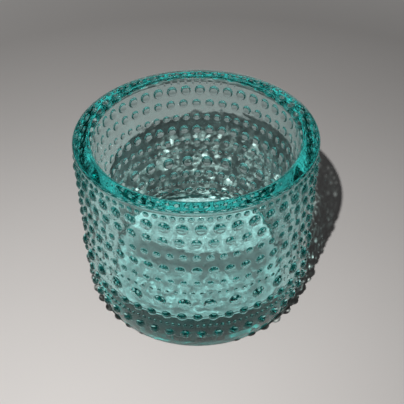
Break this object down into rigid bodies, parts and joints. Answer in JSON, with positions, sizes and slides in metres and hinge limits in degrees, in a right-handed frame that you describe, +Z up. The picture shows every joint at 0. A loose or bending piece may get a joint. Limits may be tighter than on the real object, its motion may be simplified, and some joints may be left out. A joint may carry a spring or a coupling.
{
  "type": "tealight holder",
  "caption": "Round one-piece pressed-glass tealight holder: thick cup covered outside with rows of raised beads, smooth inside, heavy base, open top for one standard tealight.",
  "frame": {"origin": "centre of the underside, in the plane of the foot ring it stands on", "axes": "+Z up along the axis of symmetry, out of the open mouth; X and Y are level and point nowhere special"},
  "size_m": [0.0826, 0.0824, 0.064],
  "materials": {
    "glass": "fire-polished gloss, tinted through"
  },
  "bodies": {
    "root": {"glass_holder": "glass"}
  },
  "joints": []
}
